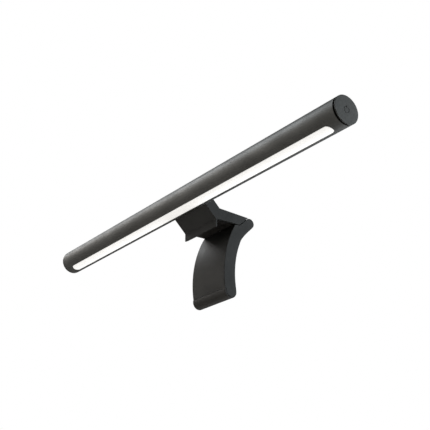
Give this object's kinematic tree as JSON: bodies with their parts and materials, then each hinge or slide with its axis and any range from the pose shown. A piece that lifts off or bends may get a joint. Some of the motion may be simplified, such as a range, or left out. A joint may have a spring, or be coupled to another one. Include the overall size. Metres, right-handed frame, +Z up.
{
  "type": "monitor light bar",
  "caption": "Long round lamp tube with a light window underneath, held by a slanted clamp that hangs on a monitor's top edge with a curved counterweight arm behind it.",
  "frame": {"origin": "middle of the clamp pad's lower face, which lies on the monitor's top edge", "axes": "+X along the bar to the end with the power button, +Y from the monitor's front to its back, +Z up"},
  "size_m": [0.4484, 0.0806, 0.1089],
  "materials": {
    "shell_dark_grey": "satin, fine grain",
    "tube_anodised": "fine bead-blasted, dark anodised",
    "cover_black": "fine grain",
    "pad_silicone": "matte",
    "window_white": "translucent diffuser",
    "reflector_white": "satin",
    "steel": "machined",
    "rail_aluminium": "as extruded",
    "bush_brass": "machined",
    "board_white": "solder mask",
    "part_black": "moulded"
  },
  "bodies": {
    "clamp": {"clamp_housing": "shell_dark_grey", "bracket_core": "steel", "underside_cover": "cover_black", "cover_screw_1": "steel", "cover_screw_2": "steel", "cover_screw_3": "steel", "top_pad": "pad_silicone", "lip_pad": "pad_silicone", "spring_left": "steel", "spring_right": "steel"},
    "saddle": {"saddle": "cover_black", "saddle_magnet_1": "steel", "saddle_magnet_2": "steel", "saddle_magnet_3": "steel", "saddle_pin_left": "steel", "saddle_pin_right": "steel"},
    "lamp": {"tube_housing": "tube_anodised", "diffuser": "window_white", "chassis_rail": "rail_aluminium", "led_board": "board_white", "reflector": "reflector_white", "magnet_keeper": "steel", "driver_board": "board_white", "usb_c_shell": "steel", "usb_c_tongue": "part_black", "left_end_cap": "tube_anodised", "button_guide": "part_black", "switch_board": "board_white", "tact_switch": "part_black", "led_wire_1": "part_black", "led_wire_2": "part_black", "button_wire_1": "part_black", "button_wire_2": "part_black"},
    "button": {"power_button": "tube_anodised"},
    "arm": {"arm_housing": "shell_dark_grey", "arm_rear_cover": "cover_black", "counterweight": "steel", "arm_screw_1": "steel", "arm_screw_2": "steel", "arm_screw_3": "steel", "arm_screw_4": "steel", "arm_foot": "pad_silicone", "hinge_pin": "steel", "hinge_bush_left": "bush_brass", "hinge_bush_right": "bush_brass"}
  },
  "joints": [
    {"name": "lamp_tilt", "type": "hinge", "parent": "clamp", "child": "saddle", "pos_m": [0, -0.035, 0.0215], "axis": [1, 0, 0], "range_deg": [-12.5, 12.5]},
    {"name": "lamp_lift_off", "type": "slide", "parent": "saddle", "child": "lamp", "axis": [0, -1, 0], "range_m": [0, 0.03]},
    {"name": "button_press", "type": "slide", "parent": "lamp", "child": "button", "axis": [-1, 0, 0], "range_m": [0, 0.0006], "stiffness_N_per_m": 900, "springref_m": -0.0008},
    {"name": "arm_open", "type": "hinge", "parent": "clamp", "child": "arm", "pos_m": [0, 0.02795, 0.0049], "axis": [1, 0, 0], "range_deg": [0, 60], "stiffness_Nm_per_rad": 0.05, "springref_deg": -68.75}
  ]
}
